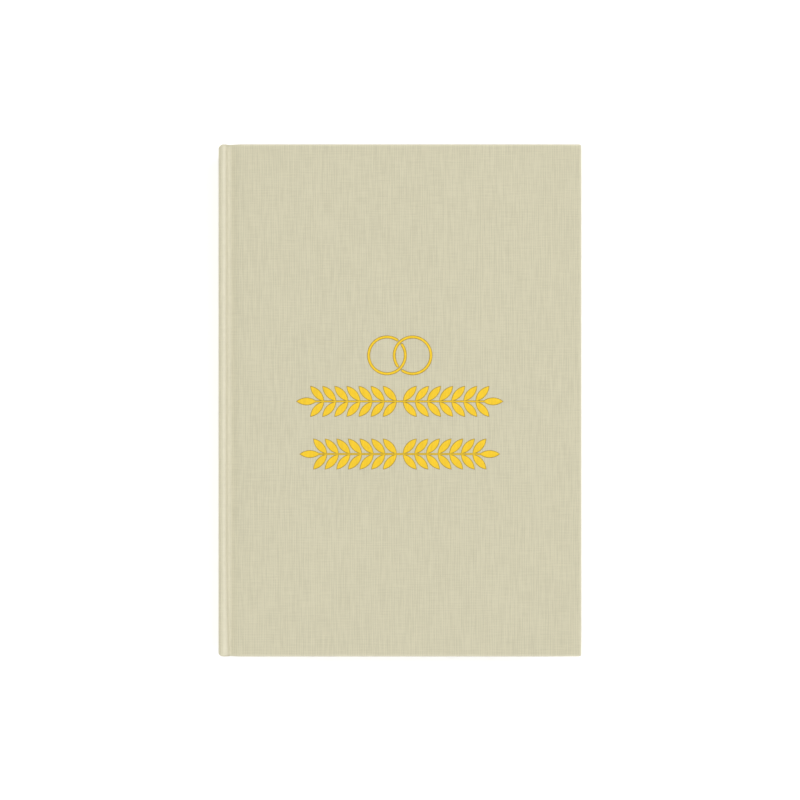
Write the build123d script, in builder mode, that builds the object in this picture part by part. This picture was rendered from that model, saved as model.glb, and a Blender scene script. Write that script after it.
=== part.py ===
"""Case-bound A5 planner: two boards and a spine in book cloth around a sewn block."""
from build123d import *
import os

os.makedirs("parts", exist_ok=True)

# ---- driving dimensions, mm ------------------------------------------------
page_width = 146.6          # leaf, fold to fore-edge
page_height = 210.0         # leaf, head to tail
head_square = 3.0           # board beyond the leaves at head and tail
fore_square = 2.5           # board beyond the leaves at the fore-edge
section_count = 12          # folded and sewn gatherings
section_thickness = 1.36    # eight leaves of 0.17
layer_gap = 0.04            # air between neighbouring paper layers
paper = 0.2                 # endpaper
cloth = 0.4                 # book cloth
board = 2.4                 # grey board, covers and spine
turn_in = 15.0              # cloth folded round the board edges
pastedown_margin = 3.5      # cloth left showing round the pastedown
groove_start = 0.35         # where the cloth dips, from the spine's shoulder
groove_floor_start = 0.9    # bottom of the groove, from the spine's shoulder
groove_floor_end = 2.2
groove_gap = 0.05           # air between the groove's cloth and the mull under it
joint_width = 6.1           # shoulder to the cover's flat panel
bevel_width = 1.5           # bevel on the cover board's inner edge
bevel_gap = 0.02            # air between that bevel and the joint cloth
spine_round = 2.6           # rounding of the spine's two long outer edges
board_flat = 0.1            # flat left beside that rounding on the spine board
edge_round = 0.35           # softening of the covered board edges
hollow = 0.15               # air between the spine's turn-in and the lining
lining = 0.2                # kraft lining of the block's spine
mull = 0.25                 # open-weave cotton over the sewing
sewing = 0.3                # thread and glue on the section folds
fold_reach = 26.0           # bending part of each leaf beside its fold
fold_gap = 0.02             # between a fold's bending part and its flat part
fold_round = 0.6            # rounding of each section's fold
mull_short = 10.0           # mull stops short of head and tail by this
stitch_stations = 6         # places where the thread crosses the spine
stitch_margin = 20.0        # outermost stations from head and tail
stitch_width = 0.5
band_radius = 0.8           # bead of the headband
band_tape = 0.2             # its tape, glued down the block's spine
band_tail = 8.0
foil = 0.06                 # foil stamped on the front cover
ring_radius = 8.4           # outer radius of the two linked rings
ring_band = 1.3
ring_offset = 5.4           # each ring's centre from the middle line
ring_height = 19.0          # rings above the cover's centre
sprig_leaf = 8.8            # length of a stamped leaf
sprig_belly = 3.3           # its width
sprig_angle = 48.0          # lean of the leaves from the stem
sprig_pairs = 7             # pairs of leaves on each side of the middle
sprig_stem = 0.9
sprig_tip = 0.8             # how far the end leaf starts inside the stem
sprig_first = 0.25          # first pair's place from the middle, as a share of the pitch
sprig_rows = ((-0.4, 5.1), (-22.6, 4.9))     # height from the centre, pitch of the pairs

# ---- places worked out from them, mm ---------------------------------------
cover_stack = cloth + board + cloth + paper
fold_x = cloth + board + cloth + hollow + lining + mull + sewing
width = fold_x + page_width + fore_square
height = page_height + 2 * head_square
block = section_count * section_thickness + (section_count - 1) * layer_gap
block_floor = cover_stack + paper + 2 * layer_gap
thickness = block + 2 * block_floor
groove_depth = board + cloth - mull - groove_gap     # groove's bottom under the cover's face
groove_under = cloth / 3                 # extra length of the groove's floor on the underside
groove_slope = groove_depth / (joint_width - groove_floor_end - groove_under)
bevel_height = bevel_width * groove_slope + bevel_gap
board_round = min(spine_round - cloth, board - board_flat)
stitch_pitch = (page_height - 2 * stitch_margin) / (stitch_stations - 1)
spine_x = -width / 2                     # outer face of the spine
fore_x = width / 2                       # outer face of the fore-edges
shoulder_x = spine_x + cover_stack       # inner side of the spine's covered board
panel_x = shoulder_x + joint_width       # where each cover's flat panel begins
leaf_x = spine_x + fold_x                # folds of the sections
slab_x = leaf_x + fold_reach             # where the leaves stay flat
window_x = fore_x - turn_in              # edge of the turn-in inside the covers
window_length = height - 2 * turn_in


def level(depth, side):
    """Height of a depth under the front (+1) or the back (-1) cover's face."""
    return thickness - depth if side > 0 else depth


def box(x0, x1, z0, z1, length, mode=Mode.ADD):
    """Add or cut a straight bar centred on the book's middle line."""
    with Locations(((x0 + x1) / 2, 0, (z0 + z1) / 2)):
        Box(x1 - x0, length, abs(z1 - z0), mode=mode)


def sheet(x0, x1, depth, amount, length, side, mode=Mode.ADD):
    """Add or cut a flat layer that lies at a depth under one cover's face."""
    box(x0, x1, level(depth, side), level(depth + amount, side), length, mode)


def profile(points, length, side):
    """Add a bar along Y with an outline of X and depth under one cover's face."""
    with BuildSketch(Plane.XZ) as outline:
        with BuildLine():
            Polyline(*[(x, level(depth, side)) for x, depth in points], close=True)
        make_face()
    extrude(outline.sketch, amount=length / 2, both=True)


def spine_bar(x0, x1, inset, corner, length, mode=Mode.ADD):
    """Add or cut a bar whose two outer long edges are rounded."""
    with BuildSketch(Plane.XZ) as outline:
        with Locations(((x0 + x1) / 2, thickness / 2)):
            Rectangle(x1 - x0, thickness - 2 * inset)
        fillet(outline.vertices().group_by(Axis.X)[0], corner)
    extrude(outline.sketch, amount=length / 2, both=True, mode=mode)


def write(builder, name):
    """Label a finished piece and write it as its own file."""
    builder.part.label = name
    export_step(builder.part, f"parts/{name}.step")


# ---- the two covers --------------------------------------------------------
for cover, side in (("front", 1), ("back", -1)):
    under_board = cloth + board
    covered_board = under_board + cloth
    board_x = panel_x - bevel_width
    with BuildPart() as cover_board:
        profile([(board_x, under_board), (board_x, cloth + bevel_height), (panel_x, cloth),
                 (fore_x - cloth, cloth), (fore_x - cloth, under_board)],
                height - 2 * cloth, side)
    write(cover_board, f"{cover}_board")

    with BuildPart() as cover_cloth:
        sheet(panel_x, fore_x, 0, covered_board, height, side)
        fillet(cover_cloth.edges().filter_by(Axis.Z).group_by(Axis.X)[-1], edge_round)
        outer_face = cover_cloth.faces().sort_by(Axis.Z)[-1 if side > 0 else 0]
        inner_edge = outer_face.edges().group_by(Axis.X)[0]
        fillet(outer_face.edges() - inner_edge, edge_round)
        sheet(panel_x, fore_x - cloth, cloth, board, height - 2 * cloth, side, Mode.SUBTRACT)
        sheet(panel_x, window_x, under_board, cloth, window_length, side, Mode.SUBTRACT)
    write(cover_cloth, f"{cover}_cover_cloth")

    # pasted over the turn-ins, and straight on the board inside them
    with BuildPart() as pastedown:
        sheet(panel_x, fore_x - pastedown_margin, covered_board, paper,
              height - 2 * pastedown_margin, side)
        sheet(panel_x, window_x, under_board, cloth, window_length, side)
        sheet(panel_x, window_x - paper, under_board + paper, cloth,
              window_length - 2 * paper, side, Mode.SUBTRACT)
    write(pastedown, f"{cover}_pastedown")

    # cloth pressed into the groove between the spine and the board
    with BuildPart() as joint_cloth:
        floor = groove_depth + cloth
        profile([(shoulder_x, 0), (shoulder_x + groove_start, 0),
                 (shoulder_x + groove_floor_start, groove_depth),
                 (shoulder_x + groove_floor_end, groove_depth), (panel_x, 0),
                 (panel_x, cloth), (shoulder_x + groove_floor_end + groove_under, floor),
                 (shoulder_x + groove_floor_start - groove_start, floor),
                 (shoulder_x, cloth)], height, side)
    write(joint_cloth, f"{cover}_joint_cloth")

    # one leg runs to the pastedown, the other into the flyleaf
    with BuildPart() as endpaper_fold:
        fold_start = leaf_x - sewing + layer_gap
        leg_end = panel_x - layer_gap
        bend_end = slab_x - fold_gap
        leaf_depth = cover_stack + layer_gap
        profile([(fold_start, covered_board), (leg_end, covered_board), (leg_end, cover_stack),
                 (fold_start + paper, cover_stack), (fold_start + paper, leaf_depth),
                 (bend_end, leaf_depth), (bend_end, leaf_depth + paper),
                 (fold_start, leaf_depth + paper)], page_height, side)
    write(endpaper_fold, f"{cover}_endpaper_fold")

    with BuildPart() as flyleaf:
        sheet(slab_x, leaf_x + page_width, leaf_depth, paper, page_height, side)
    write(flyleaf, f"{cover}_flyleaf")

# ---- spine of the case -----------------------------------------------------
board_inner_x = spine_x + cloth + board
with BuildPart() as spine_board:
    spine_bar(spine_x + cloth, board_inner_x, cloth, board_round, height - 2 * cloth)
write(spine_board, "spine_board")

with BuildPart() as spine_cloth:
    spine_bar(spine_x, shoulder_x, 0, board_round + cloth, height)
    spine_bar(spine_x + cloth, board_inner_x, cloth, board_round,
              height - 2 * cloth, Mode.SUBTRACT)
    box(board_inner_x, shoulder_x, cloth, thickness - cloth, window_length, Mode.SUBTRACT)
    box(board_inner_x + cloth, shoulder_x, cloth, thickness - cloth, height, Mode.SUBTRACT)
write(spine_cloth, "spine_cloth")

# ---- spine of the sewn block -----------------------------------------------
lining_x = board_inner_x + cloth + hollow
mull_x = lining_x + lining
sewing_x = mull_x + mull
mull_length = page_height - 2 * mull_short
with BuildPart() as spine_lining:
    box(lining_x, mull_x, cover_stack, thickness - cover_stack, page_height)
write(spine_lining, "spine_lining")

with BuildPart() as mull_cloth:
    flap_depth = cloth + board + cloth
    box(mull_x, panel_x - layer_gap, flap_depth - mull, thickness - flap_depth + mull,
        mull_length)
    box(sewing_x, panel_x - layer_gap, flap_depth, thickness - flap_depth,
        mull_length, Mode.SUBTRACT)
write(mull_cloth, "mull")

with BuildPart() as sewing_thread:
    with BuildSketch(Plane.XY.offset(block_floor)):
        with Locations((leaf_x - sewing / 2, 0)):
            with GridLocations(1, stitch_pitch, 1, stitch_stations):
                Rectangle(sewing, stitch_width)
    extrude(amount=block)
write(sewing_thread, "sewing_thread")

for band, end in (("headband", 1), ("tailband", -1)):
    with BuildPart() as end_band:
        edge_y = end * page_height / 2
        bead_y = edge_y + end * (band_radius + fold_gap)
        with BuildSketch(Plane.XY.offset(block_floor)):
            with Locations((leaf_x - sewing + band_radius, bead_y)):
                Circle(band_radius)
            with Locations((leaf_x - sewing + band_tape / 2, bead_y - end * band_tail / 2)):
                Rectangle(band_tape, band_tail)
        extrude(amount=block)
    write(end_band, band)

# ---- sections, counted from the front cover --------------------------------
for index in range(section_count):
    depth = block_floor + index * (section_thickness + layer_gap)
    with BuildPart() as section:
        sheet(slab_x, leaf_x + page_width, depth, section_thickness, page_height, 1)
    write(section, f"section_{index + 1:02d}")

    with BuildPart() as section_fold:
        sheet(leaf_x, slab_x - fold_gap, depth, section_thickness, page_height, 1)
        fillet(section_fold.edges().filter_by(Axis.Y).group_by(Axis.X)[0], fold_round)
    write(section_fold, f"section_{index + 1:02d}_fold")

# ---- foil stamped on the front cover: linked rings over two leafy sprigs ----
with BuildSketch() as stamped_ring:
    Circle(ring_radius)
    Circle(ring_radius - ring_band, mode=Mode.SUBTRACT)

with BuildSketch() as stamped_leaf:
    with BuildLine():
        ThreePointArc((0, 0), (sprig_leaf / 2, sprig_belly / 2), (sprig_leaf, 0))
        ThreePointArc((sprig_leaf, 0), (sprig_leaf / 2, -sprig_belly / 2), (0, 0))
    make_face()

with BuildPart() as cover_foil:
    with BuildSketch(Plane.XY.offset(thickness)):
        with Locations((-ring_offset, ring_height), (ring_offset, ring_height)):
            add(stamped_ring.sketch)
        for row_y, pitch in sprig_rows:
            reach = sprig_pairs * pitch
            with Locations((0, row_y)):
                Rectangle(2 * reach, sprig_stem)
            for way in (1, -1):
                turned = 0 if way > 0 else 180
                places = [Location((way * (reach - sprig_tip), row_y), turned)]
                for pair in range(sprig_pairs):
                    stem_x = way * (pair + sprig_first) * pitch
                    places.append(Location((stem_x, row_y), turned + sprig_angle))
                    places.append(Location((stem_x, row_y), turned - sprig_angle))
                with Locations(*places):
                    add(stamped_leaf.sketch)
    extrude(amount=foil)
write(cover_foil, "cover_foil")
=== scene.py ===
import bmesh, bpy, math
import numpy as np
from math import cos, pi, sin
from mathutils import Matrix, Vector


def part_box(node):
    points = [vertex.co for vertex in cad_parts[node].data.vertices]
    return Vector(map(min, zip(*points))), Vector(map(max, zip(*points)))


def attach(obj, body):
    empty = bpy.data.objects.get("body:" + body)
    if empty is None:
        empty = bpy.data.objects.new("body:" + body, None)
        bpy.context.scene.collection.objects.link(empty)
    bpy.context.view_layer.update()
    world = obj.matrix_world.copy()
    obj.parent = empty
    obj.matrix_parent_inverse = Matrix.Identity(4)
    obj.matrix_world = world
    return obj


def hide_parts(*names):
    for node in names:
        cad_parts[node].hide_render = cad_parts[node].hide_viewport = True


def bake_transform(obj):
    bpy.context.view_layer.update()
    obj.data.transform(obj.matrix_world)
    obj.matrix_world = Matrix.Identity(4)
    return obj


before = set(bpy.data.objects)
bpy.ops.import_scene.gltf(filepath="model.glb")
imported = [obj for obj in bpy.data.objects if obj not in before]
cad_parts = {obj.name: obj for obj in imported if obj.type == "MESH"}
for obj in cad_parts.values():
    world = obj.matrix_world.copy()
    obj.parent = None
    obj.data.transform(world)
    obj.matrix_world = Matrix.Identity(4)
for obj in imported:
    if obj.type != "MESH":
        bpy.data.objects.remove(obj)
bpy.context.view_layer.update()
mm = 0.001
addToScene = bpy.context.scene.collection.objects.link

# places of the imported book, in metres
spineLow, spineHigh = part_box("spine_cloth")
panelLow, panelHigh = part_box("front_cover_cloth")
foldX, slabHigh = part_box("section_01_fold")[0].x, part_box("section_01")[1]
spineX, shoulderX, panelX, foreX = spineLow.x, spineHigh.x, panelLow.x, panelHigh.x
topZ, headY = spineHigh.z, spineHigh.y
leafEndX, pageY = slabHigh.x, slabHigh.y
sectionCount = sum(1 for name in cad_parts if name.startswith("section_") and "fold" not in name)

# lens and sensor in millimetres, as a camera's are; the frame's height in metres at the cover
cameraView = {"lens": 85.0, "sensor": 36.0, "frameHeight": 0.3372, "aside": 0.00009, "up": 0.00018}
distance = cameraView["frameHeight"] * cameraView["lens"] / cameraView["sensor"]
cameraData = bpy.data.cameras.new("studioCamera")
cameraData.lens = cameraView["lens"]
cameraData.sensor_width = cameraView["sensor"]
camera = bpy.data.objects.new("studioCamera", cameraData)
camera.location = (cameraView["aside"], cameraView["up"], topZ + distance)
addToScene(camera)
bpy.context.scene.camera = camera
print("camera set")


def newMaterial(name):
    material = bpy.data.materials.new(name)
    material.use_nodes = True
    tree = material.node_tree
    shader = tree.nodes["Principled BSDF"]
    return material, tree, shader


def newNode(tree, kind, wires, **settings):
    # each wire is a value, a socket or a node, which gives its first output
    node = tree.nodes.new(kind)
    for key, value in settings.items():
        setattr(node, key, value)
    for socket, value in wires.items():
        if isinstance(value, bpy.types.Node):
            value = value.outputs[0]
        if isinstance(value, bpy.types.NodeSocket):
            tree.links.new(value, node.inputs[socket])
        else:
            node.inputs[socket].default_value = value
    return node


def mathNode(tree, operation, *values):
    return newNode(tree, "ShaderNodeMath", dict(enumerate(values)), operation=operation).outputs[0]


def times(tree, first, second):
    return mathNode(tree, "MULTIPLY", first, second)


def timesPlus(tree, first, second, third):
    return mathNode(tree, "MULTIPLY_ADD", first, second, third)


def objectPlace(tree):
    return tree.nodes.new("ShaderNodeTexCoord").outputs["Object"]


def mapPlace(tree, name):
    return newNode(tree, "ShaderNodeUVMap", {}, uv_map=name).outputs[0]


def attributeOut(tree, name):
    return newNode(tree, "ShaderNodeAttribute", {}, attribute_name=name).outputs["Fac"]


def splitPlace(tree, vector):
    return newNode(tree, "ShaderNodeSeparateXYZ", {0: vector}).outputs


noiseShift = (1.0, 0.7, 1.3)     # moves noises with another offset apart on each axis


def stretchedNoise(tree, vector, across, along, detail=3.0, roughness=0.55, offset=0.0):
    # noise with so many cells per millimetre across and along the threads
    mapping = newNode(tree, "ShaderNodeMapping", {
        "Vector": vector, "Scale": (across / mm, along / mm, across / mm),
        "Location": tuple(offset * share for share in noiseShift)})
    return newNode(tree, "ShaderNodeTexNoise", {
        "Vector": mapping, "Scale": 1.0, "Detail": detail, "Roughness": roughness}).outputs["Fac"]


def mixColour(tree, factor, first, second):
    first, second = ((*value, 1.0) if isinstance(value, tuple) else value for value in (first, second))
    return newNode(tree, "ShaderNodeMix", {0: factor, 6: first, 7: second}, data_type="RGBA").outputs[2]


weaveLook = {"sway": (0.12, 0.05), "warpSway": 0.9, "weftSway": 0.7, "roundness": 0.6, "over": 0.4}


def weaveHeight(tree, vector, warpPitch, weftPitch):
    # plain weave: warp and weft pass over each other in turn
    split = splitPlace(tree, vector)
    drift = stretchedNoise(tree, vector, *weaveLook["sway"], detail=1.0, offset=3.0)
    across = timesPlus(tree, drift, weaveLook["warpSway"] * mm, split[0])
    along = timesPlus(tree, drift, weaveLook["weftSway"] * mm, split[1])
    warp = mathNode(tree, "SINE", times(tree, across, pi / (warpPitch * mm)))
    weft = mathNode(tree, "SINE", times(tree, along, pi / (weftPitch * mm)))
    over = times(tree, times(tree, warp, weft), weaveLook["over"])
    warpRise = timesPlus(tree, mathNode(tree, "ABSOLUTE", warp), weaveLook["roundness"], over)
    weftRound = times(tree, mathNode(tree, "ABSOLUTE", weft), weaveLook["roundness"])
    return mathNode(tree, "MAXIMUM", warpRise, mathNode(tree, "SUBTRACT", weftRound, over))


def threadLines(tree, vector, axis, pitch):
    # lighter and darker threads in turn, swaying a little
    sway = stretchedNoise(tree, vector, *weaveLook["sway"], detail=1.0, offset=17.0)
    place = timesPlus(tree, sway, weaveLook["warpSway"] * mm, splitPlace(tree, vector)[axis])
    return mathNode(tree, "SINE", times(tree, place, 2 * pi / (pitch * mm)))


def setSurface(shader, look):
    for key, socket in (("roughness", "Roughness"), ("specular", "Specular IOR Level"),
                        ("sheen", "Sheen Weight"), ("sheenRoughness", "Sheen Roughness"),
                        ("metallic", "Metallic")):
        if key in look:
            shader.inputs[socket].default_value = look[key]


def finishLook(tree, shader, look, colour, height):
    tree.links.new(colour, shader.inputs["Base Color"])
    bump = newNode(tree, "ShaderNodeBump", {"Height": height, "Strength": look["bump"],
                                            "Distance": look["bumpDepth"] * mm})
    tree.links.new(bump.outputs[0], shader.inputs["Normal"])
    setSurface(shader, look)


# pitches in millimetres, noises in cells per millimetre across and along the threads
clothLook = {
    # wear: paler colour for worn edges, also used for the painted highlight on the spine's ridge and groove
    # floor
    "light": (0.583, 0.550, 0.399), "shade": (0.499, 0.471, 0.341), "wear": (0.74, 0.70, 0.545),
    "warpPitch": 0.42, "weftPitch": 0.46, "warpLines": 0.98, "weftLines": 1.1,
    "warpSlub": (2.3, 0.11), "weftSlub": (0.13, 2.3), "mottle": (0.05, 0.035), "fray": (0.6, 0.5),
    "shares": {"warpSlub": 0.4, "weftSlub": 0.24, "mottle": 0.05, "warpLines": 0.055, "weftLines": 0.015,
               "weave": 0.16},
    "lift": 0.06, "toneLow": 0.385, "toneHigh": 0.585, "frayShare": 0.5, "wearLeast": 0.33,
    "bump": 0.35, "bumpDepth": 0.10, "slubHeight": 0.8,
    "roughness": 0.82, "specular": 0.25, "sheen": 0.12, "sheenRoughness": 0.5}


def makeBookCloth():
    material, tree, shader = newMaterial("ivoryBookCloth")
    grain = mapPlace(tree, "clothGrain")
    shares = clothLook["shares"]
    weave = weaveHeight(tree, grain, clothLook["warpPitch"], clothLook["weftPitch"])
    warpSlub = stretchedNoise(tree, grain, *clothLook["warpSlub"], detail=1.0, offset=11.0)
    weftSlub = stretchedNoise(tree, grain, *clothLook["weftSlub"], detail=1.0, offset=23.0)
    mottle = stretchedNoise(tree, grain, *clothLook["mottle"], detail=3.0, offset=31.0)
    tone = times(tree, weftSlub, shares["weftSlub"])
    for part, share in ((warpSlub, shares["warpSlub"]), (mottle, shares["mottle"]),
                        (threadLines(tree, grain, 0, clothLook["warpLines"]), shares["warpLines"]),
                        (threadLines(tree, grain, 1, clothLook["weftLines"]), shares["weftLines"])):
        tone = timesPlus(tree, part, share, tone)
    tone = mathNode(tree, "ADD", tone, clothLook["lift"])
    tone = timesPlus(tree, weave, shares["weave"], tone)
    ramp = newNode(tree, "ShaderNodeMapRange", {"Value": tone, "From Min": clothLook["toneLow"],
                                                "From Max": clothLook["toneHigh"]})
    colour = mixColour(tree, ramp, clothLook["shade"], clothLook["light"])
    # worn edges, and the painted highlight on the spine's ridge and groove floor, take the paler colour
    fray = stretchedNoise(tree, grain, *clothLook["fray"], detail=4.0, offset=5.0)
    paleness = timesPlus(tree, fray, clothLook["frayShare"], clothLook["wearLeast"])
    wear = times(tree, attributeOut(tree, "wearAndPaintedHighlight"), paleness)
    colour = mixColour(tree, wear, colour, clothLook["wear"])
    height = timesPlus(tree, warpSlub, clothLook["slubHeight"], weave)
    finishLook(tree, shader, clothLook, colour, height)
    return material


# the rim colour is painted shade along the stamped edges
foilLook = {"bright": (0.89, 0.585, 0.007), "deep": (0.54, 0.345, 0.004), "rimShade": (0.20, 0.13, 0.005),
            "weaveShare": 0.45, "slubShare": 0.6, "rimGrain": 0.6, "rimLeast": 0.55,
            "roughLeast": 0.34, "roughGrain": 0.22, "bump": 0.4, "bumpDepth": 0.05, "slubHeight": 0.7,
            "metallic": 0.35, "slub": (1.5, 0.12), "grain": (0.7, 0.6)}


def makeGoldFoil():
    material, tree, shader = newMaterial("goldFoil")
    coord = objectPlace(tree)
    weave = weaveHeight(tree, coord, clothLook["warpPitch"], clothLook["weftPitch"])
    slub = stretchedNoise(tree, coord, *foilLook["slub"], detail=2.0, offset=11.0)
    grain = stretchedNoise(tree, coord, *foilLook["grain"], detail=4.0, offset=7.0)
    slubs = times(tree, slub, foilLook["slubShare"])
    tone = timesPlus(tree, weave, foilLook["weaveShare"], slubs)
    colour = mixColour(tree, tone, foilLook["deep"], foilLook["bright"])
    # painted shade along the foil's edges
    rimShade = times(tree, attributeOut(tree, "rimShade"),
                   timesPlus(tree, grain, foilLook["rimGrain"], foilLook["rimLeast"]))
    rough = timesPlus(tree, grain, foilLook["roughGrain"], foilLook["roughLeast"])
    tree.links.new(rough, shader.inputs["Roughness"])
    height = timesPlus(tree, slub, foilLook["slubHeight"], weave)
    finishLook(tree, shader, foilLook, mixColour(tree, rimShade, colour, foilLook["rimShade"]), height)
    return material


paperLook = {"fibre": (1.1, 0.8), "cloudy": (0.03, 0.03), "fibreShare": 0.5, "cloudyShare": 0.6,
             "edgeShare": 0.5, "edgeShade": 0.72, "bump": 0.25, "bumpDepth": 0.04,
             "roughness": 0.88, "specular": 0.3}


def makePaper(name, ruled=False, edges=False):
    base, fleck = tonePairs[name]
    material, tree, shader = newMaterial(name)
    coord = objectPlace(tree)
    fibre = stretchedNoise(tree, coord, *paperLook["fibre"], detail=5.0, offset=2.0)
    cloudy = stretchedNoise(tree, coord, *paperLook["cloudy"], detail=2.0, offset=9.0)
    fibres = times(tree, fibre, paperLook["fibreShare"])
    tone = timesPlus(tree, cloudy, paperLook["cloudyShare"], fibres)
    colour = mixColour(tree, tone, fleck, base)
    if edges:
        # painted shade along each leaf's cut edges, stronger on some leaves than on others
        cut = times(tree, attributeOut(tree, "leafEdge"), paperLook["edgeShare"])
        shade = times(tree, cut, attributeOut(tree, "leafEdgeShade"))
        colour = mixColour(tree, shade, colour, tuple(paperLook["edgeShade"] * value for value in base))
    if ruled:
        colour = addRules(tree, colour)
    finishLook(tree, shader, paperLook, colour, fibre)
    return material


ruling = {"pitch": 8.0, "line": 0.26, "sideMargin": 16.0, "footMargin": 17.0, "headMargin": 26.0,
          "ink": (0.50, 0.44, 0.33), "strength": 0.6}


def addRules(tree, colour):
    # faint writing lines; the page's own map runs from the fold and from the tail edge
    across, up = splitPlace(tree, mapPlace(tree, "pagePlace"))[:2]
    pageWide, pageTall = leafEndX - foldX, 2 * pageY
    row = mathNode(tree, "MODULO", up, ruling["pitch"] * mm)
    line = mathNode(tree, "LESS_THAN", row, ruling["line"] * mm)
    for value, low, high in (
            (across, ruling["sideMargin"] * mm, pageWide - ruling["sideMargin"] * mm),
            (up, ruling["footMargin"] * mm, pageTall - ruling["headMargin"] * mm)):
        line = times(tree, line, mathNode(tree, "GREATER_THAN", value, low))
        line = times(tree, line, mathNode(tree, "LESS_THAN", value, high))
    return mixColour(tree, times(tree, line, ruling["strength"]), colour, ruling["ink"])


boardLook = {"pulp": (0.9, 0.7), "dark": (0.20, 0.18, 0.155), "pale": (0.36, 0.335, 0.30),
             "bump": 0.5, "bumpDepth": 0.08, "roughness": 0.95}


def makeBoard():
    material, tree, shader = newMaterial("greyBoard")
    coord = objectPlace(tree)
    pulp = stretchedNoise(tree, coord, *boardLook["pulp"], detail=6.0, roughness=0.7)
    finishLook(tree, shader, boardLook, mixColour(tree, pulp, boardLook["dark"], boardLook["pale"]), pulp)
    return material


threadLook = {"ply": (5.0, 5.0), "bump": 0.5, "bumpDepth": 0.05, "roughness": 0.6, "sheen": 0.3}


def makeThread(name):
    base, shade = tonePairs[name]
    material, tree, shader = newMaterial(name)
    coord = objectPlace(tree)
    ply = stretchedNoise(tree, coord, *threadLook["ply"], detail=3.0, offset=4.0)
    finishLook(tree, shader, threadLook, mixColour(tree, ply, shade, base), ply)
    return material


mullLook = {"pitch": 0.9, "dark": (0.42, 0.37, 0.28), "pale": (0.78, 0.74, 0.64),
            "bump": 0.8, "bumpDepth": 0.15, "roughness": 0.9}


def makeMull():
    material, tree, shader = newMaterial("mullCotton")
    # the gauze stands upright at the spine
    swap = newNode(tree, "ShaderNodeMapping", {"Vector": objectPlace(tree), "Rotation": (0, pi / 4, 0)})
    gauze = weaveHeight(tree, swap.outputs[0], mullLook["pitch"], mullLook["pitch"])
    finishLook(tree, shader, mullLook, mixColour(tree, gauze, mullLook["dark"], mullLook["pale"]), gauze)
    return material


# main tone and darker fleck of each paper and thread
tonePairs = {
    "creamEndpaper": ((0.78, 0.745, 0.655), (0.72, 0.685, 0.59)),
    "creamLeafPaper": ((0.80, 0.775, 0.70), (0.745, 0.715, 0.635)),
    "kraftLining": ((0.50, 0.33, 0.17), (0.36, 0.23, 0.11)),
    "ivoryThread": ((0.86, 0.82, 0.70), (0.66, 0.61, 0.48)),
    "goldThread": ((0.80, 0.58, 0.20), (0.55, 0.37, 0.10))}

bookCloth = makeBookCloth()
goldFoil = makeGoldFoil()
endpaper = makePaper("creamEndpaper")
leafPaper = makePaper("creamLeafPaper", ruled=True, edges=True)
greyBoard = makeBoard()
kraft = makePaper("kraftLining")
mullCotton = makeMull()
ivoryThread = makeThread("ivoryThread")
goldThread = makeThread("goldThread")
print("materials made")


def meshPiece(name, points, faces, material, uvName=None, uvs=None, attributes=None):
    mesh = bpy.data.meshes.new(name)
    mesh.from_pydata([tuple(point) for point in points], [], faces)
    if uvs is not None:
        layer = mesh.uv_layers.new(name=uvName)
        flat = np.array(uvs, dtype=np.float32)
        loops = np.empty(len(mesh.loops), dtype=np.int32)
        mesh.loops.foreach_get("vertex_index", loops)
        layer.data.foreach_set("uv", flat[loops].ravel())
    for key, values in (attributes or {}).items():
        attribute = mesh.attributes.new(key, "FLOAT", "POINT")
        attribute.data.foreach_set("value", np.array(values, dtype=np.float32))
    mesh.materials.append(material)
    piece = bpy.data.objects.new(name, mesh)
    addToScene(piece)
    return piece


def freeze(piece):
    # turns modifiers into a plain mesh
    graph = bpy.context.evaluated_depsgraph_get()
    graph.update()
    mesh = bpy.data.meshes.new_from_object(piece.evaluated_get(graph), depsgraph=graph)
    piece.modifiers.clear()
    piece.data = mesh
    return piece


def facesOut(piece):
    shape = bmesh.new()
    shape.from_mesh(piece.data)
    bmesh.ops.recalc_face_normals(shape, faces=shape.faces)
    shape.to_mesh(piece.data)
    shape.free()


def smoothUpTo(piece, degrees):
    # soft shading, with edges sharper than the angle kept crisp
    piece.data.shade_smooth()
    piece.data.set_sharp_from_angle(angle=math.radians(degrees))


def thicken(piece, thickness, smoothAngle=60):
    solid = piece.modifiers.new("thickness", "SOLIDIFY")
    solid.thickness = thickness
    solid.offset = -1.0
    freeze(piece)
    smoothUpTo(piece, smoothAngle)
    return piece


def weld(piece, gap=1e-6):
    modifier = piece.modifiers.new("weld", "WELD")
    modifier.merge_threshold = gap
    freeze(piece)


def clamped(value):
    return min(max(value, 0.0), 1.0)


def smoothShare(value):
    value = clamped(value)
    return value * value * (3 - 2 * value)


def gridFaces(columns, rows):
    return [(i * rows + j, (i + 1) * rows + j, (i + 1) * rows + j + 1, i * rows + j + 1)
            for i in range(columns - 1) for j in range(rows - 1)]


def smoothLine(keys, steps):
    # a Catmull-Rom line through given points
    keys = np.array(keys, float)
    padded = np.vstack([2 * keys[0] - keys[1], keys, 2 * keys[-1] - keys[-2]])
    line = []
    for index in range(len(keys) - 1):
        before, start, end, after = padded[index:index + 4]
        for step in range(steps):
            t = step / steps
            square = 2 * before - 5 * start + 4 * end - after
            cube = 3 * start - before - 3 * end + after
            line.append(0.5 * (2 * start + (end - before) * t + square * t ** 2 + cube * t ** 3))
    line.append(keys[-1])
    return np.array(line)


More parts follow.
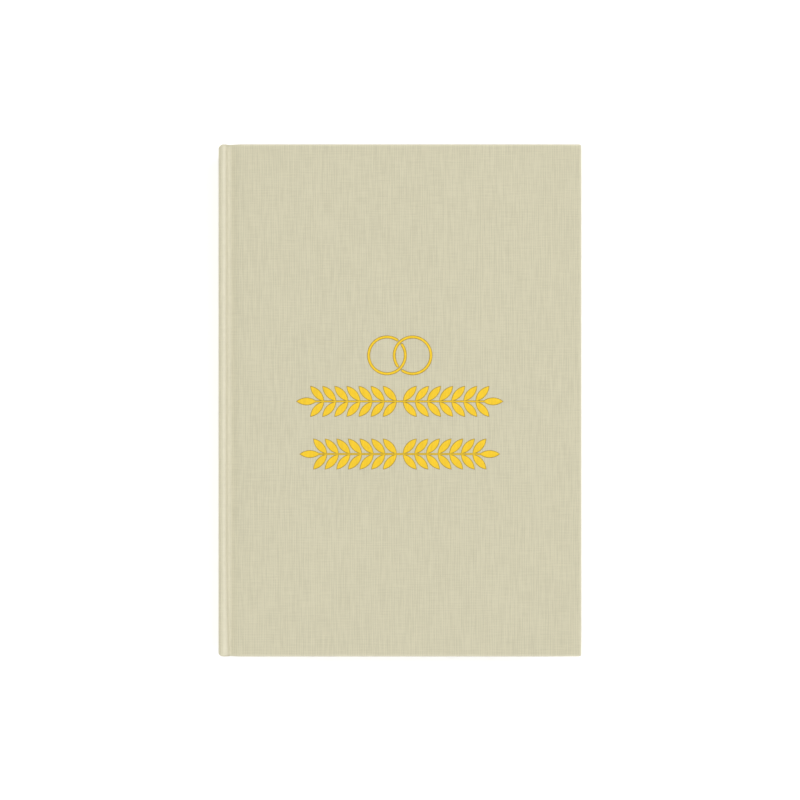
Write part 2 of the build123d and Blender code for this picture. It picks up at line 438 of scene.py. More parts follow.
case = {
    "spineRound": 2.1, "cornerRound": 1.0, "edgeRound": 0.45, "covered": 3.2, "cloth": 0.38,
    "turnIn": 15.0, "rows": 90, "panelColumns": 34, "smoothAngle": 50,
    "steps": {"face": 9, "turn": 11, "groove": 4, "edge": 5, "fan": 7},
    # the joint between the spine's shoulder and the panel, less these two
    "hinge": (0.1, 0.6),
    # the spine's corners are drawn in at head and tail
    "headRetreat": 1.0, "tailRetreat": 0.7, "retreatReach": 1.9, "retreatRun": 14.0,
    # the crease wanders outwards towards the tail
    "creaseDrift": 0.7, "creaseFrom": 55.0, "creaseRun": 50.0, "creasePlace": 3.7, "creaseWidth": 1.3,
    # from the ridge down into the groove and up to the panel: distance from the spine's face, depth
    "groove": [(2.1, 0.0), (2.6, 0.05), (3.05, 0.22), (3.4, 0.55), (3.65, 1.0), (3.95, 1.42), (4.4, 1.66),
               (5.0, 1.68), (5.7, 1.45), (6.6, 1.0), (7.6, 0.55), (8.6, 0.2), (9.4, 0.04), (10.2, 0.0)],
    # painted highlight where light falls on the spine's ridge and the groove's floor: distance from the
    # spine's face, width, amount
    "pale": ((2.75, 1.25, 1.1), (4.8, 1.0, 0.8)),
    # wear along the edges: place and width down the edge as shares, less of it at the joint, more at corners
    "wearPlace": 0.08, "wearWidth": 0.12, "jointWear": 0.4, "joint": (3, 10), "cornerWear": 4}


def caseProfile():
    # outer line of the front half in millimetres: distance from the spine's face, depth under the cover
    radius, steps = case["spineRound"], case["steps"]
    face = [(0.0, depth) for depth in np.linspace(topZ / 2 / mm, radius, steps["face"])[:-1]]
    turn = [(radius - radius * cos(a), radius - radius * sin(a))
            for a in np.linspace(0, pi / 2, steps["turn"])[:-1]]
    groove = smoothLine(case["groove"], steps["groove"])
    end = (foreX - spineX) / mm - case["cornerRound"]
    panel = [(x, 0.0) for x in np.linspace(case["groove"][-1][0], end, case["panelColumns"])[1:]]
    return np.array(face + turn + [tuple(point) for point in groove] + panel)


def wrapSteps():
    # outward reach and depth as a share, round the covered edge to the underside
    radius, depth, corner = case["edgeRound"], case["covered"], case["cornerRound"]
    quarter = np.linspace(0, pi / 2, case["steps"]["edge"])
    over = [(-radius + radius * sin(a), (radius - radius * cos(a)) / depth) for a in quarter]
    under = [(-radius + radius * cos(a), (depth - radius + radius * sin(a)) / depth) for a in quarter]
    return over + [(0.0, 0.5)] + under + [(-corner, 1.0)]


def makeCaseCloth(side, name):
    line = caseProfile()
    corner = case["cornerRound"]
    halfLength = headY / mm - corner
    rows = np.linspace(-halfLength, halfLength, case["rows"])
    reach = np.concatenate([[0], np.cumsum(np.hypot(*np.diff(line, axis=0).T))])
    windowX = (foreX - spineX) / mm - case["turnIn"]
    windowY = headY / mm - case["turnIn"]
    points, uvs, wearAndHighlights = [], [], []

    def bump(offset, width):
        return math.exp(-(offset / width) ** 2)

    def shifted(x, y):
        share = clamped((-y - case["creaseFrom"]) / case["creaseRun"])
        near = bump(x - case["creasePlace"], case["creaseWidth"])
        return x + case["creaseDrift"] * share * share * near

    def retreat(x, y):
        amount = case["headRetreat"] if y > 0 else case["tailRetreat"]
        share = max(1.0 - x / case["retreatReach"], 0.0)
        ends = clamped((abs(y) - halfLength + case["retreatRun"]) / case["retreatRun"])
        return amount * share * share * ends * ends * math.copysign(1, y)

    def put(x, depth, y, u, v, wear):
        height = topZ - depth * mm if side > 0 else depth * mm
        points.append((spineX + x * mm, y * mm, height))
        uvs.append((side * u * mm, v * mm))
        wearAndHighlights.append(wear)
        return len(points) - 1

    # painted highlight on the spine's ridge and the groove's floor, on the cover's face only
    def paintedHighlight(x, depth):
        if depth > case["covered"]:
            return 0.0
        return sum(amount * bump(x - centre, wide) for centre, wide, amount in case["pale"])

    grid = [[put(shifted(x, y), d, y - retreat(x, y), u, y, paintedHighlight(x, d)) for y in rows]
            for (x, d), u in zip(line, reach)]
    count, last = len(line), len(rows) - 1
    faces = [(grid[i][j], grid[i + 1][j], grid[i + 1][j + 1], grid[i][j + 1])
             for i in range(count - 1) for j in range(last)]
    fan = np.linspace(0, pi / 2, case["steps"]["fan"])
    edge = [(i, last, (0.0, 1.0)) for i in range(count)]
    edge += [(count - 1, last, (sin(a), cos(a))) for a in fan[1:-1]]
    edge += [(count - 1, j, (1.0, 0.0)) for j in range(last, -1, -1)]
    edge += [(count - 1, 0, (cos(a), -sin(a))) for a in fan[1:-1]]
    edge += [(i, 0, (0.0, -1.0)) for i in range(count - 1, -1, -1)]
    previous = [grid[i][j] for i, j, _ in edge]
    steps = wrapSteps()
    length, old = 0.0, (-corner, 0.0)
    for outward, share in steps:
        length += math.hypot(outward - old[0], (share - old[1]) * case["covered"])
        old = (outward, share)
        ring = []
        for i, j, (ox, oy) in edge:
            x, depth = line[i]
            y = rows[j]
            px = x + (max(x, case["covered"]) - x) * share
            pd = depth + (max(depth, case["covered"]) - depth) * share
            bx = shifted(px, y) + ox * (corner + outward)
            by = y - retreat(x, y) + oy * (corner + outward)
            wear = bump(share - case["wearPlace"], case["wearWidth"])
            if case["joint"][0] <= x <= case["joint"][1]:
                wear *= case["jointWear"]
            wear += bump(x - line[-1][0], case["cornerWear"]) * bump(abs(y) - halfLength, case["cornerWear"])
            ring.append(put(bx, pd, by, reach[i] + ox * length, y + oy * length, min(wear, 1.0)))
        faces += ringFaces(previous, ring)
        previous = ring
    inner = []
    for i, j, (ox, oy) in edge:
        x, depth = line[i]
        y = rows[j]
        innerX = max(x, case["covered"])
        wx = min(innerX, windowX)
        wy = max(min(y, windowY), -windowY)
        inner.append(put(wx, max(depth, case["covered"]), wy, reach[i] + ox * (length + innerX - wx),
                         y + oy * (length + abs(y - wy)), 0.0))
    faces += ringFaces(previous, inner)
    if side < 0:
        faces = [tuple(reversed(face)) for face in faces]
    piece = meshPiece(name, points, faces, bookCloth, "clothGrain", uvs, {"wearAndPaintedHighlight": wearAndHighlights})
    weld(piece)
    return thicken(piece, case["cloth"] * mm, case["smoothAngle"])


def ringFaces(previous, ring):
    faces = []
    for k in range(len(ring) - 1):
        face = [previous[k], previous[k + 1], ring[k + 1], ring[k]]
        face = [v for n, v in enumerate(face) if v != face[n - 1]]
        if len(face) > 2:
            faces.append(tuple(face))
    return faces


frontCase = makeCaseCloth(1, "front_case_cloth")
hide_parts("front_cover_cloth", "front_joint_cloth", "spine_cloth")
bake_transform(frontCase)
backCase = makeCaseCloth(-1, "back_case_cloth")
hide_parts("back_cover_cloth", "back_joint_cloth")
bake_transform(backCase)
print("case cloth made")

spineBoard = {"round": 2.2, "cloth": 0.4, "board": 2.4, "shorter": 1.9, "arcSteps": 8, "smoothAngle": 35}


def makeSpineBoard():
    # the stiff strip inside the spine cloth, its ends kept inside the cloth's rounded ends
    radius, cloth = spineBoard["round"], spineBoard["cloth"]
    inner = cloth + spineBoard["board"]
    half = topZ / mm / 2 - cloth
    arc = np.linspace(0, pi / 2, spineBoard["arcSteps"])
    outline = [(cloth + radius - radius * cos(a), half - radius + radius * sin(a)) for a in arc]
    outline += [(inner, half)]
    outline += [(x, -z) for x, z in reversed(outline)]
    length = headY / mm - spineBoard["shorter"]
    count = len(outline)
    points = [(spineX + x * mm, y * mm, topZ / 2 + z * mm) for y in (-length, length) for x, z in outline]
    faces = [(k, (k + 1) % count, count + (k + 1) % count, count + k) for k in range(count)]
    faces += [tuple(reversed(range(count))), tuple(range(count, 2 * count))]
    piece = meshPiece("spine_stiffener", points, faces, greyBoard)
    facesOut(piece)
    smoothUpTo(piece, spineBoard["smoothAngle"])
    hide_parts("spine_board")
    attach(piece, "spine")


def stripPiece(name, line, halfLength, rows, thickness, material):
    # a sheet that follows a line of X and Z along the book's height, given its thickness
    ys = np.linspace(-halfLength, halfLength, rows)
    reach = np.concatenate([[0], np.cumsum(np.hypot(*np.diff(line, axis=0).T))])
    points = [(x, y, z) for x, z in line for y in ys]
    uvs = [(u, y + halfLength) for u in reach for y in ys]
    piece = meshPiece(name, points, gridFaces(len(line), rows), material, "sheetPlace", uvs)
    return thicken(piece, thickness)


# depths under the cover's face over the turned-in cloth and inside it, in millimetres
paste = {"margin": 3.5, "paper": 0.19, "over": 3.22, "inside": 2.84, "stepWidth": 1.6, "turnIn": 15.0,
         "hinge": 12.0, "hingeColumns": 26, "columns": 70, "rows": 96, "tuckIn": 0.05, "pastHinge": 4.0,
         "widenFrom": -1.0, "widenRun": 3.0, "crowd": 0.4, "crowdPower": 0.35}


def makePastedown(side, name, cadNode, foldNode):
    # pasted over the turn-ins, whose edges show through it
    endX = foreX - paste["margin"] * mm
    endY = headY - paste["margin"] * mm
    flatX = panelX + paste["pastHinge"] * mm
    near = np.linspace(foldX - paste["tuckIn"] * mm, flatX, paste["hingeColumns"])[:-1]
    xs = np.concatenate([near, np.linspace(flatX, endX, paste["columns"])])
    windowX, windowY = foreX - paste["turnIn"] * mm, headY - paste["turnIn"] * mm
    shares = np.linspace(-1, 1, paste["rows"])
    points, uvs = [], []
    for x in xs:
        widened = smoothShare((x - panelX - paste["widenFrom"] * mm) / (paste["widenRun"] * mm))
        halfY = pageY + (endY - pageY) * widened
        for share in shares:
            # rows crowd towards the ends, where the turn-in shows
            crowded = math.copysign(abs(share) ** paste["crowdPower"], share)
            y = halfY * ((1 - paste["crowd"]) * share + paste["crowd"] * crowded)
            inside = smoothShare((windowX - x) / (paste["stepWidth"] * mm) + 0.5)
            inside *= smoothShare((windowY - abs(y)) / (paste["stepWidth"] * mm) + 0.5)
            inside *= smoothShare((x - panelX) / (paste["hinge"] * mm))
            depth = paste["over"] + (paste["inside"] - paste["over"]) * inside
            points.append((x, y, topZ - depth * mm if side > 0 else depth * mm))
            uvs.append((x, y))
    faces = gridFaces(len(xs), len(shares))
    if side < 0:
        faces = [tuple(reversed(face)) for face in faces]
    piece = meshPiece(name, points, faces, endpaper, "sheetPlace", uvs)
    thicken(piece, paste["paper"] * mm)
    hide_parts(cadNode, foldNode)
    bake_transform(piece)


# millimetres at the outermost section and for each one further in; crowding is a power
bendReach = {"first": 6.0, "each": 2.4, "crowding": 1.7}


def bendSection(piece):
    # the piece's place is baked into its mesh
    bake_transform(piece)


def crowdedPlaces(start, end, count):
    # places from start to end that crowd towards the start
    return start + (end - start) * np.linspace(0, 1, count) ** bendReach["crowding"]


# the curl at the fold: distance from it, height from the leaf's middle, in millimetres
flyleaf = {"curl": ((0.25, 0.17), (-0.02, 0.1), (0.02, 0.02), (0.4, 0.0)), "curlSteps": 3, "bendFrom": 0.8,
           "bendTo": 34.0, "bendColumns": 40, "flatFrom": 38.0, "flatColumns": 22, "rows": 12,
           "paper": 0.15}


def makeFlyleaf(name, cadNode, number):
    low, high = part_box(cadNode)
    middle = (low.z + high.z) / 2
    side = 1 if number == 0 else -1
    curl = [(foldX + x * mm, middle + side * rise * mm) for x, rise in flyleaf["curl"]]
    line = [tuple(point) for point in smoothLine(curl, flyleaf["curlSteps"])]
    bendStart, bendEnd, flatStart = (foldX + flyleaf[key] * mm for key in ("bendFrom", "bendTo", "flatFrom"))
    line += [(x, middle) for x in crowdedPlaces(bendStart, bendEnd, flyleaf["bendColumns"])]
    line += [(x, middle) for x in np.linspace(flatStart, leafEndX, flyleaf["flatColumns"])]
    piece = stripPiece(name, np.array(line), pageY, flyleaf["rows"], flyleaf["paper"] * mm, endpaper)
    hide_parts(cadNode)
    bendSection(piece)


leaves = {"perSection": 8, "thickness": 0.158, "spread": 0.17, "edgeWander": 0.16, "seed": 7, "rows": 7,
          "roundFold": 5, "flatColumns": 5, "bendColumns": 38, "bendTo": 36.0, "ripple": 0.006,
          "rippleReach": 140.0, "ripplePhase": (3.1, 1.7), "smoothAngle": 40}


def sheetOutline(sheet, middle, pairs):
    # both faces of one folded sheet from the upper leaf's edge round the fold to the lower leaf's
    height = (sheet + 0.5) * leaves["spread"] * mm
    half = leaves["thickness"] / 2 * mm
    bendX = foldX + pairs * leaves["spread"] * mm
    farX = foldX + leaves["bendTo"] * mm
    flat = np.concatenate([np.linspace(leafEndX, farX, leaves["flatColumns"])[:-1],
                           crowdedPlaces(bendX, farX, leaves["bendColumns"])[:0:-1]])
    arc = np.linspace(pi / 2, -pi / 2, 2 * leaves["roundFold"] + 1)
    outline = []
    for radius in (height + half, height - half):
        line = [(x, middle + radius, x - foldX) for x in flat]
        line += [(bendX - radius * cos(a), middle + radius * sin(a), 0.0) for a in arc]
        line += [(x, middle - radius, x - foldX) for x in flat[::-1]]
        outline.append(line)
    return outline


def sheetFaces(base, count, rows):
    # outer and inner side of a folded sheet, its edges at tail and head, and its two cut fore-edges
    inside, end = count * rows, (count - 1) * rows
    sides, edges = [], []
    for a, b, c, d in gridFaces(count, rows):
        sides += [(a, b, c, d), (inside + d, inside + c, inside + b, inside + a)]
    for a in range(0, end, rows):
        b, c, d = a + rows, a + 2 * rows - 1, a + rows - 1
        edges += [(b, a, inside + a, inside + b), (d, c, inside + c, inside + d)]
    for a in range(rows - 1):
        b, c, d = end + a, end + a + 1, a + 1
        edges += [(a, d, inside + d, inside + a), (inside + b, inside + c, c, b)]
    return [tuple(base + corner for corner in face) for face in sides + edges]


def makeSection(number, dice):
    # four sheets folded inside each other; each comes back as two leaves
    node = f"section_{number + 1:02d}"
    low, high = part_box(node)
    pairs = leaves["perSection"] // 2
    ys = np.linspace(-pageY, pageY, leaves["rows"])
    rows = len(ys)
    points, faces, uvs, edges, edgeShades = [], [], [], [], []
    for sheet in range(pairs):
        wander = dice.uniform(-1, 0, 2) * leaves["edgeWander"] * mm
        # how strong the painted shade is along each leaf's edges
        tone = dice.uniform(0, 1, 2)
        outline = sheetOutline(sheet, (low.z + high.z) / 2, pairs)
        count = len(outline[0])
        faces += sheetFaces(len(points), count, rows)
        for line in outline:
            for k, (x, z, place) in enumerate(line):
                leaf = 0 if k < count / 2 else 1
                pull = wander[leaf] * smoothShare((x - foldX) / (leafEndX - foldX))
                swell = leaves["ripple"] * mm * smoothShare(place / (leaves["rippleReach"] * mm))
                phase = leaves["ripplePhase"][1] * sheet + leaf
                for j, y in enumerate(ys):
                    ripple = swell * sin(leaves["ripplePhase"][0] * j + phase)
                    points.append((x + pull, y, z + ripple))
                    uvs.append((place, y + pageY))
                    edges.append(1.0 if k in (0, count - 1) or j in (0, rows - 1) else 0.0)
                    edgeShades.append(tone[leaf])
    piece = meshPiece(f"leaves_{number + 1:02d}", points, faces, leafPaper, "pagePlace", uvs,
                      {"leafEdge": edges, "leafEdgeShade": edgeShades})
    facesOut(piece)
    smoothUpTo(piece, leaves["smoothAngle"])
    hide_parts(node, node + "_fold")
    bendSection(piece)


makeSpineBoard()
makePastedown(1, "front_pasted_endpaper", "front_pastedown", "front_endpaper_fold")
makePastedown(-1, "back_pasted_endpaper", "back_pastedown", "back_endpaper_fold")
makeFlyleaf("front_free_endpaper", "front_flyleaf", 0)
makeFlyleaf("back_free_endpaper", "back_flyleaf", sectionCount - 1)
dice = np.random.default_rng(leaves["seed"])
for number in range(sectionCount):
    makeSection(number, dice)
print("leaves and endpapers made")

mullCloth = {"thickness": 0.22, "short": 10.0, "inset": 0.02, "bend": 0.5, "bendFrom": 0.2, "flapFrom": 1.2,
             "uprightColumns": 8, "bendColumns": 5, "flapColumns": 12, "rows": 20}
mullLow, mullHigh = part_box("mull")


def makeMullHalf(side, name):
    inset, bend = mullCloth["inset"] * mm, mullCloth["bend"] * mm
    near, far = mullLow.x + inset, mullHigh.x
    flapZ = mullHigh.z - inset if side > 0 else mullLow.z + inset
    line = [(near, z) for z in np.linspace(topZ / 2, flapZ - side * bend, mullCloth["uprightColumns"])]
    line += [(near + bend - bend * cos(a), flapZ - side * (bend - bend * sin(a)))
             for a in np.linspace(mullCloth["bendFrom"], pi / 2, mullCloth["bendColumns"])]
    flapStart = near + mullCloth["flapFrom"] * mm
    line += [(x, flapZ) for x in np.linspace(flapStart, far, mullCloth["flapColumns"])]
    if side < 0:
        line = line[::-1]
    piece = stripPiece(name, np.array(line), pageY - mullCloth["short"] * mm, mullCloth["rows"],
                       mullCloth["thickness"] * mm, mullCotton)
    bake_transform(piece)
    return piece


mullFront = makeMullHalf(1, "mull_front_half")
makeMullHalf(-1, "mull_back_half")
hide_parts("mull")
for node, material in (("front_board", greyBoard), ("back_board", greyBoard), ("spine_lining", kraft)):
    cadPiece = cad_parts[node]
    cadPiece.data.materials.clear()
    cadPiece.data.materials.append(material)
print("boards, lining and mull finished")


def newTree(name, inputs):
    # a node group with a mesh in, a mesh out and named inputs
    tree = bpy.data.node_groups.new(name, "GeometryNodeTree")
    for way in ("INPUT", "OUTPUT"):
        tree.interface.new_socket(name="Geometry", in_out=way, socket_type="NodeSocketGeometry")
    for label, kind in inputs.items():
        tree.interface.new_socket(name=label, in_out="INPUT", socket_type=f"NodeSocket{kind}")
    return tree, tree.nodes.new("NodeGroupInput").outputs


def runTree(name, tree, values):
    # an empty mesh carries the tree; its result is frozen into a plain mesh
    piece = bpy.data.objects.new(name, bpy.data.meshes.new(name))
    addToScene(piece)
    modifier = piece.modifiers.new("nodes", "NODES")
    modifier.node_group = tree
    for item in tree.interface.items_tree:
        if item.in_out == "INPUT" and item.name in values:
            modifier[item.identifier] = values[item.name]
    return freeze(piece)


def vectorNode(tree, **parts):
    return newNode(tree, "ShaderNodeCombineXYZ", parts)


def inRow(tree, shape, count, step, wires, **turn):
    # copies of a shape, one step after another
    row = newNode(tree, "GeometryNodeMeshLine", {"Count": count, "Offset": step, **wires}, mode="OFFSET")
    return newNode(tree, "GeometryNodeInstanceOnPoints", {"Points": row, "Instance": shape, **turn})


def cordNode(tree, path, radius, sides, caps=False):
    profile = newNode(tree, "GeometryNodeCurvePrimitiveCircle", {"Resolution": sides, "Radius": radius})
    return newNode(tree, "GeometryNodeCurveToMesh", {"Curve": path, "Profile Curve": profile,
                                                     "Fill Caps": caps})


def joinShapes(tree, *shapes):
    joined = tree.nodes.new("GeometryNodeJoinGeometry")
    for shape in shapes:
        tree.links.new(shape.outputs[0], joined.inputs[0])
    return joined


def finishTree(tree, shape, material):
    real = newNode(tree, "GeometryNodeRealizeInstances", {"Geometry": shape})
    painted = newNode(tree, "GeometryNodeSetMaterial", {"Geometry": real, "Material": material})
    newNode(tree, "NodeGroupOutput", {"Geometry": painted})
    return tree


# the rim slopes up in rings: share of the bevel, share of the rise, painted shade
foil = {"leafLength": 8.8, "leafBelly": 3.3, "lean": 48.0, "pairs": 7, "tipInside": 0.8, "firstPair": 0.25,
        "stem": 0.9, "stemSink": 0.01, "rows": ((-0.4, 5.1), (-22.6, 4.9)), "rise": 0.10, "bevel": 0.36,
        "slope": ((0.0, -0.02, 1.0), (0.04, 0.4, 1.0), (0.5, 0.85, 0.85), (1.0, 1.0, 0.0)), "sharpest": 0.6,
        "ringRadius": 8.4, "ringBand": 1.3, "ringOffset": 5.4, "ringHeight": 19.0, "crossingGap": 10.5,
        "ringSteps": 64, "tipSteps": 7, "leafSteps": 13, "smoothAngle": 50}


def stampedShape(name, outline):
    # a flat outline stamped proud: a narrow rim in painted shade slopes up to the bright face
    outline = np.array(outline)
    count = len(outline)
    ahead = np.roll(outline, -1, axis=0) - outline
    ahead /= np.maximum(np.hypot(*ahead.T), 1e-9)[:, None]
    normal = np.stack([-ahead[:, 1], ahead[:, 0]], axis=1)
    inward = normal + np.roll(normal, 1, axis=0)
    inward /= np.maximum((inward ** 2).sum(axis=1), foil["sharpest"])[:, None] / 2
    points, rimShades = [], []
    for share, height, rimShade in foil["slope"]:
        step = outline + inward * share * foil["bevel"]
        points += [(x * mm, y * mm, height * foil["rise"] * mm) for x, y in step]
        rimShades += [rimShade] * count
    top = len(points) - count
    faces = []
    for start in range(0, top, count):
        for k in range(count):
            after = start + (k + 1) % count
            faces.append((start + k, after, after + count, start + k + count))
    faces.append(tuple(range(top, top + count)))
    faces.append(tuple(reversed(range(count))))
    piece = meshPiece(name, points, faces, goldFoil, attributes={"rimShade": rimShades})
    facesOut(piece)
    return piece


def leafOutline():
    # two equal arcs that meet in points
    half, belly = foil["leafLength"] / 2, foil["leafBelly"] / 2
    radius = (half * half + belly * belly) / (2 * belly)
    spread = math.asin(half / radius)
    arc = np.linspace(-spread, spread, foil["leafSteps"])
    lower = [(half + radius * sin(a), radius - belly - radius * cos(a)) for a in arc]
    upper = [(x, -y) for x, y in reversed(lower[1:-1])]
    return lower + upper


def ringTip(angle, way):
    # the rounded end of an open ring
    half = foil["ringBand"] / 2
    middle = foil["ringRadius"] - half
    arc = np.linspace(0, pi, foil["tipSteps"])[1:-1][::way]
    points = [(middle + half * cos(a), way * half * sin(a)) for a in arc]
    return [(r * cos(angle) - s * sin(angle), r * sin(angle) + s * cos(angle))
            for r, s in points]


def ringOutline(start, end):
    outer, inner = foil["ringRadius"], foil["ringRadius"] - foil["ringBand"]
    turn = np.radians(np.linspace(start, end, foil["ringSteps"]))
    line = [(outer * cos(a), outer * sin(a)) for a in turn] + ringTip(turn[-1], 1)
    line += [(inner * cos(a), inner * sin(a)) for a in turn[::-1]] + ringTip(turn[0], -1)
    return line


def sprigTree():
    # pairs of leaves march out along both halves of a stem
    tree, source = newTree("sprigRow", {"Leaf": "Object", "Pairs": "Int", "Pitch": "Float", "First": "Float",
                                        "Lean": "Float", "Tip": "Float", "Place": "Vector",
                                        "Foil": "Material"})
    leaf = newNode(tree, "GeometryNodeObjectInfo", {"Object": source["Leaf"]},
                   transform_space="ORIGINAL").outputs["Geometry"]
    first, pitch = vectorNode(tree, X=source["First"]), vectorNode(tree, X=source["Pitch"])
    parts = [inRow(tree, leaf, source["Pairs"], pitch, {"Start Location": first},
                   Rotation=vectorNode(tree, Z=times(tree, source["Lean"], way))) for way in (1, -1)]
    parts.append(newNode(tree, "GeometryNodeTransform", {
        "Geometry": leaf, "Translation": vectorNode(tree, X=source["Tip"])}))
    half = joinShapes(tree, *parts)
    mirrored = newNode(tree, "GeometryNodeTransform", {"Geometry": half, "Rotation": (0, 0, pi)})
    moved = newNode(tree, "GeometryNodeTransform", {"Geometry": joinShapes(tree, half, mirrored),
                                                    "Translation": source["Place"]})
    return finishTree(tree, moved, source["Foil"])


def makeFoil():
    leaf = stampedShape("stampLeaf", leafOutline())
    tree = sprigTree()
    made = []
    for number, (height, pitch) in enumerate(foil["rows"]):
        reach, half = foil["pairs"] * pitch, foil["stem"] / 2
        made.append(runTree(f"foil_sprig_{number + 1}", tree, {
            "Leaf": leaf, "Pairs": foil["pairs"], "Pitch": pitch * mm,
            "First": foil["firstPair"] * pitch * mm, "Lean": math.radians(foil["lean"]),
            "Tip": (reach - foil["tipInside"]) * mm,
            "Place": (0.0, height * mm, topZ), "Foil": goldFoil}))
        stem = stampedShape(f"foil_stem_{number + 1}", [(-reach, -half), (reach, -half), (reach, half),
                                                         (-reach, half)])
        stem.data.transform(Matrix.Translation((0, height * mm, topZ - foil["stemSink"] * mm)))
        made.append(stem)
    bpy.data.objects.remove(leaf)
    crossing = math.degrees(math.acos(foil["ringOffset"] / (foil["ringRadius"] - foil["ringBand"] / 2)))
    gap = foil["crossingGap"]
    for number, (way, start) in enumerate(((-1, crossing), (1, 180 + crossing))):
        ring = stampedShape(f"foil_ring_{number + 1}", ringOutline(start + gap, start + 360 - gap))
        place = (way * foil["ringOffset"] * mm, foil["ringHeight"] * mm, topZ)
        ring.data.transform(Matrix.Translation(place))
        made.append(ring)
    for piece in made:
        smoothUpTo(piece, foil["smoothAngle"])
        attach(piece, "front_cover")
    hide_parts("cover_foil")


makeFoil()
print("foil stamped")

# ends: from the band's faces to the middle of the bead; first: where the winding starts, in wraps
band = {"radius": 0.72, "wrap": 0.36, "strand": 0.2, "loopSides": 20, "strandSides": 6, "ends": 0.8,
        "first": 0.6, "coreInset": 0.05, "coreShare": 1.2, "coreSides": 12,
        "dome": ((0.55, 0.12), (0.9, 0.5), (1.0, 1.0))}


def bandTree():
    # thread wound round the bead, one turn after another
    tree, source = newTree("woundBand", {"Turns": "Int", "Start": "Vector", "Step": "Vector",
                                         "Bead": "Float", "Strand": "Float", "Thread": "Material"})
    loop = newNode(tree, "GeometryNodeCurvePrimitiveCircle", {"Resolution": band["loopSides"],
                                                              "Radius": source["Bead"]})
    turn = cordNode(tree, loop, source["Strand"], band["strandSides"])
    wound = inRow(tree, turn, source["Turns"], source["Step"], {"Start Location": source["Start"]})
    return finishTree(tree, wound, source["Thread"])


def makeBands():
    tree = bandTree()
    wrap, ends, coreInset = band["wrap"] * mm, band["ends"] * mm, band["coreInset"] * mm
    for end, node in ((1, "headband"), (-1, "tailband")):
        low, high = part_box(node)
        beadX = low.x + ends
        beadY = high.y - ends if end > 0 else low.y + ends
        turns = int((high.z - low.z - wrap) / (2 * wrap))
        for number, (colour, thread) in enumerate((("ivory", ivoryThread), ("gold", goldThread))):
            piece = runTree(f"{node}_{colour}", tree, {
                "Turns": turns, "Start": (beadX, beadY, low.z + (band["first"] + number) * wrap),
                "Step": (0, 0, 2 * wrap), "Bead": (band["radius"] - band["strand"]) * mm,
                "Strand": band["strand"] * mm, "Thread": thread})
            piece.data.shade_smooth()
            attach(piece, "spine")
            if number == 0:
                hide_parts(node)
        coreRadius = (band["radius"] - band["coreShare"] * band["strand"]) * mm
        core = tubePiece(f"{node}_core", (beadX, beadY, low.z + coreInset),
                         (beadX, beadY, high.z - coreInset), coreRadius, ivoryThread)
        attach(core, "spine")


def tubePiece(name, start, end, radius, material):
    # a closed round bar upright between two points, its ends domed
    sides = band["coreSides"]
    levels = [(share, start[2] + rise * radius) for share, rise in band["dome"]]
    levels += [(share, end[2] - rise * radius) for share, rise in reversed(band["dome"])]
    points, faces = [start], []
    for share, z in levels:
        points += [(start[0] + share * radius * cos(a), start[1] + share * radius * sin(a), z)
                   for a in np.linspace(0, 2 * pi, sides, endpoint=False)]
    points.append(end)
    last = len(levels) - 1
    ring = lambda r, k: 1 + r * sides + k % sides
    for k in range(sides):
        faces.append((0, ring(0, k + 1), ring(0, k)))
        faces += [(ring(r, k), ring(r, k + 1), ring(r + 1, k + 1), ring(r + 1, k)) for r in range(last)]
        faces.append((ring(last, k), ring(last, k + 1), len(points) - 1))
    piece = meshPiece(name, points, faces, material)
    piece.data.shade_smooth()
    return piece


sewing = {"stations": 6, "margin": 20.0, "strand": 0.13, "strandSides": 6, "bow": 0.12, "bowSteps": 6,
          "pairGap": 0.34}


def sewingTree():
    # at each station a pair of threads steps from section to section down the block's spine
    tree, source = newTree("sewnStations", {"Stations": "Int", "Start": "Vector", "Step": "Vector",
                                            "Links": "Int", "Link": "Float", "Strand": "Float",
                                            "Bow": "Float", "Thread": "Material"})
    up = vectorNode(tree, Z=source["Link"])
    middle = vectorNode(tree, X=times(tree, source["Bow"], -1.0), Z=times(tree, source["Link"], 0.5))
    arch = newNode(tree, "GeometryNodeCurveQuadraticBezier", {
        "Resolution": sewing["bowSteps"], "Start": (0, 0, 0), "Middle": middle, "End": up})
    stitch = cordNode(tree, arch, source["Strand"], sewing["strandSides"], caps=True)
    links = inRow(tree, stitch, source["Links"], up, {})
    stations = inRow(tree, links, source["Stations"], source["Step"], {"Start Location": source["Start"]})
    return finishTree(tree, stations, source["Thread"])


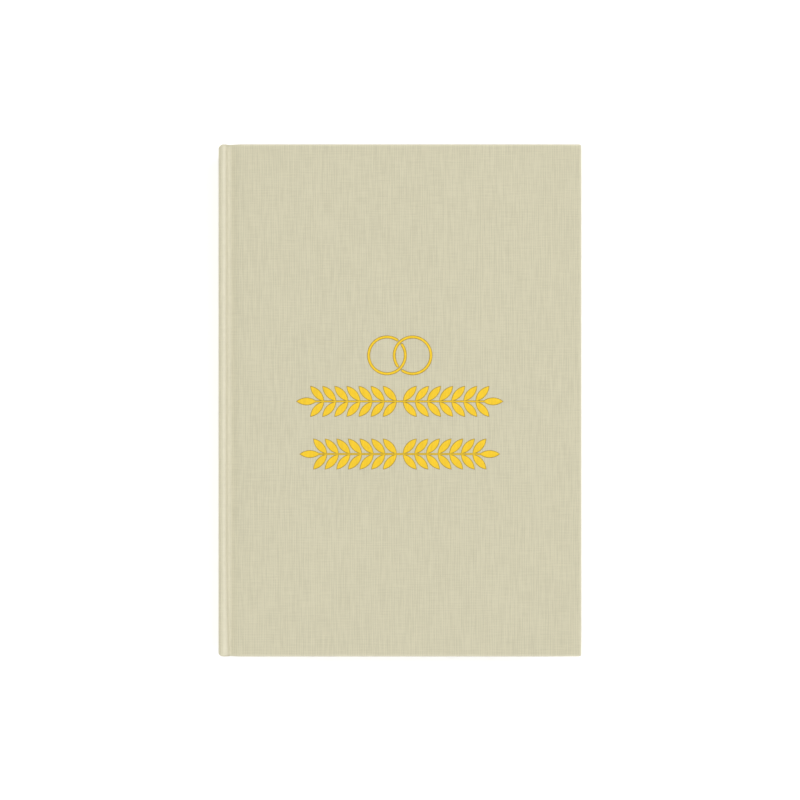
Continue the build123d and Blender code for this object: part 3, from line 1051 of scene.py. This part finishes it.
def makeSewing():
    low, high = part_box("sewing_thread")
    link = (high.z - low.z) / sectionCount
    strand, margin = sewing["strand"] * mm, sewing["margin"] * mm
    step = (2 * pageY - 2 * margin) / (sewing["stations"] - 1)
    tree = sewingTree()
    for number, shift in enumerate((-0.5, 0.5)):
        place = margin - pageY + shift * sewing["pairGap"] * mm
        piece = runTree(f"sewing_thread_{number + 1}", tree, {
            "Stations": sewing["stations"], "Start": (high.x - strand, place, low.z + link / 2),
            "Step": (0, step, 0), "Links": sectionCount - 1, "Link": link,
            "Strand": strand, "Bow": sewing["bow"] * mm, "Thread": ivoryThread})
        piece.data.shade_smooth()
        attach(piece, "spine")
        if number == 0:
            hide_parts("sewing_thread")


makeBands()
makeSewing()
print("bands and sewing made")

studio = {"floorReach": 40.0, "floorDrop": 0.0002, "floorTone": (0.93, 0.93, 0.925), "floorGlow": 0.20,
          "roughness": 0.9, "specular": 0.1, "skyStrength": 0.44,
          "lights": (  # name, place, size, watts
              ("keySoftbox", (0.95, 0.30, 1.05), 0.9, 9.3),
              ("fillSoftbox", (-1.05, -0.30, 0.90), 1.1, 8.2),
              ("overheadSoftbox", (0.0, 0.1, 1.7), 1.4, 8.0))}


def makeStudio():
    reach = studio["floorReach"]
    material, tree, shader = newMaterial("paleFloor")
    setSurface(shader, studio)
    shader.inputs["Base Color"].default_value = (*studio["floorTone"], 1)
    shader.inputs["Emission Color"].default_value = (1, 1, 1, 1)
    shader.inputs["Emission Strength"].default_value = studio["floorGlow"]
    corners = [(x * reach, y * reach, -studio["floorDrop"]) for x, y in ((-1, -1), (1, -1), (1, 1), (-1, 1))]
    floor = meshPiece("studioFloor", corners, [(0, 1, 2, 3)], material)
    world = bpy.data.worlds.new("studioSky")
    world.use_nodes = True
    sky = world.node_tree.nodes["Background"].inputs
    sky["Color"].default_value = (1, 1, 1, 1)
    sky["Strength"].default_value = studio["skyStrength"]
    bpy.context.scene.world = world
    for name, place, size, watts in studio["lights"]:
        light = bpy.data.lights.new(name, "AREA")
        light.size = size
        light.energy = watts
        holder = bpy.data.objects.new(name, light)
        holder.location = place
        holder.rotation_mode = "QUATERNION"
        holder.rotation_quaternion = (-Vector(place)).to_track_quat("-Z", "Y")
        addToScene(holder)
    bpy.context.scene.view_settings.view_transform = "Standard"


makeStudio()
